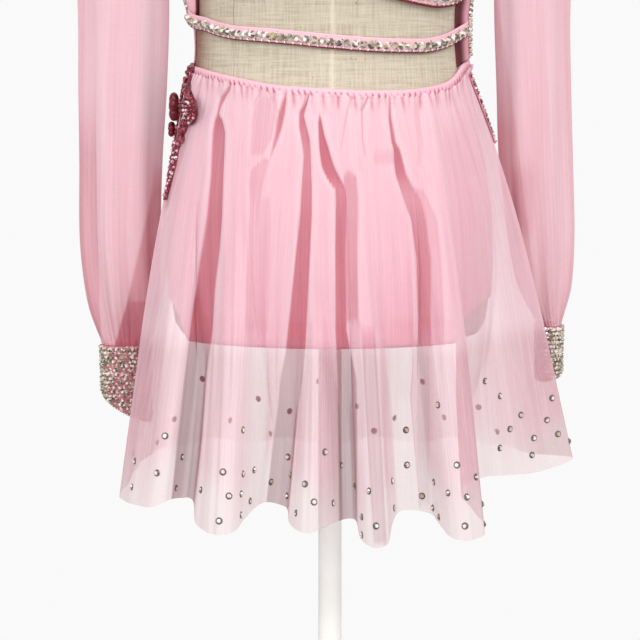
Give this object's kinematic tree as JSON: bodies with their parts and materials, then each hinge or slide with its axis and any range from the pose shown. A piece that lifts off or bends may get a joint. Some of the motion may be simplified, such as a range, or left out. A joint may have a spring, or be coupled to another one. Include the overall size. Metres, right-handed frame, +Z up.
{
  "type": "lyrical dance costume on a limbless dress form",
  "caption": "Pink lyrical dance costume with a gathered sheer skirt, long full sleeves, crystal cuffs and an open midriff, on a limbless linen dress form with a short round table stand.",
  "frame": {"origin": "middle of the underside of the stand's base", "axes": "+Z up along the stand's pole, the costume's front faces -Y, +X to the right of someone facing the front"},
  "size_m": [0.3911, 0.3142, 0.8853],
  "materials": {
    "pink_mesh": "sheer stretch mesh with a fine weave and a soft sheen",
    "pink_stretch": "satin stretch knit",
    "burgundy_trim": "glossy burgundy cloth with glass beads",
    "crystal_cloth": "pink stretch knit covered with flat-backed crystals",
    "linen": "natural linen, plain weave",
    "white_paint": "white powder coat"
  },
  "bodies": {
    "root": {"form_torso": "linen", "neck_cap": "linen", "stand_pole": "white_paint", "stand_base": "white_paint", "brief_front": "pink_stretch", "brief_back": "pink_stretch", "brief_gusset": "pink_stretch", "bodice_front": "pink_stretch", "bodice_back": "pink_stretch", "back_panel": "pink_stretch", "side_trim_right": "burgundy_trim", "side_trim_left": "burgundy_trim", "midriff_strap": "pink_stretch", "waistband": "pink_stretch", "skirt": "pink_mesh", "hip_trim_left": "burgundy_trim", "hip_trim_right": "burgundy_trim", "sleeve_left": "pink_mesh", "sleeve_right": "pink_mesh", "cuff_left": "crystal_cloth", "cuff_right": "crystal_cloth", "hip_flower_upper": "burgundy_trim", "hip_flower_lower": "burgundy_trim", "hip_rosette": "burgundy_trim"}
  },
  "joints": []
}
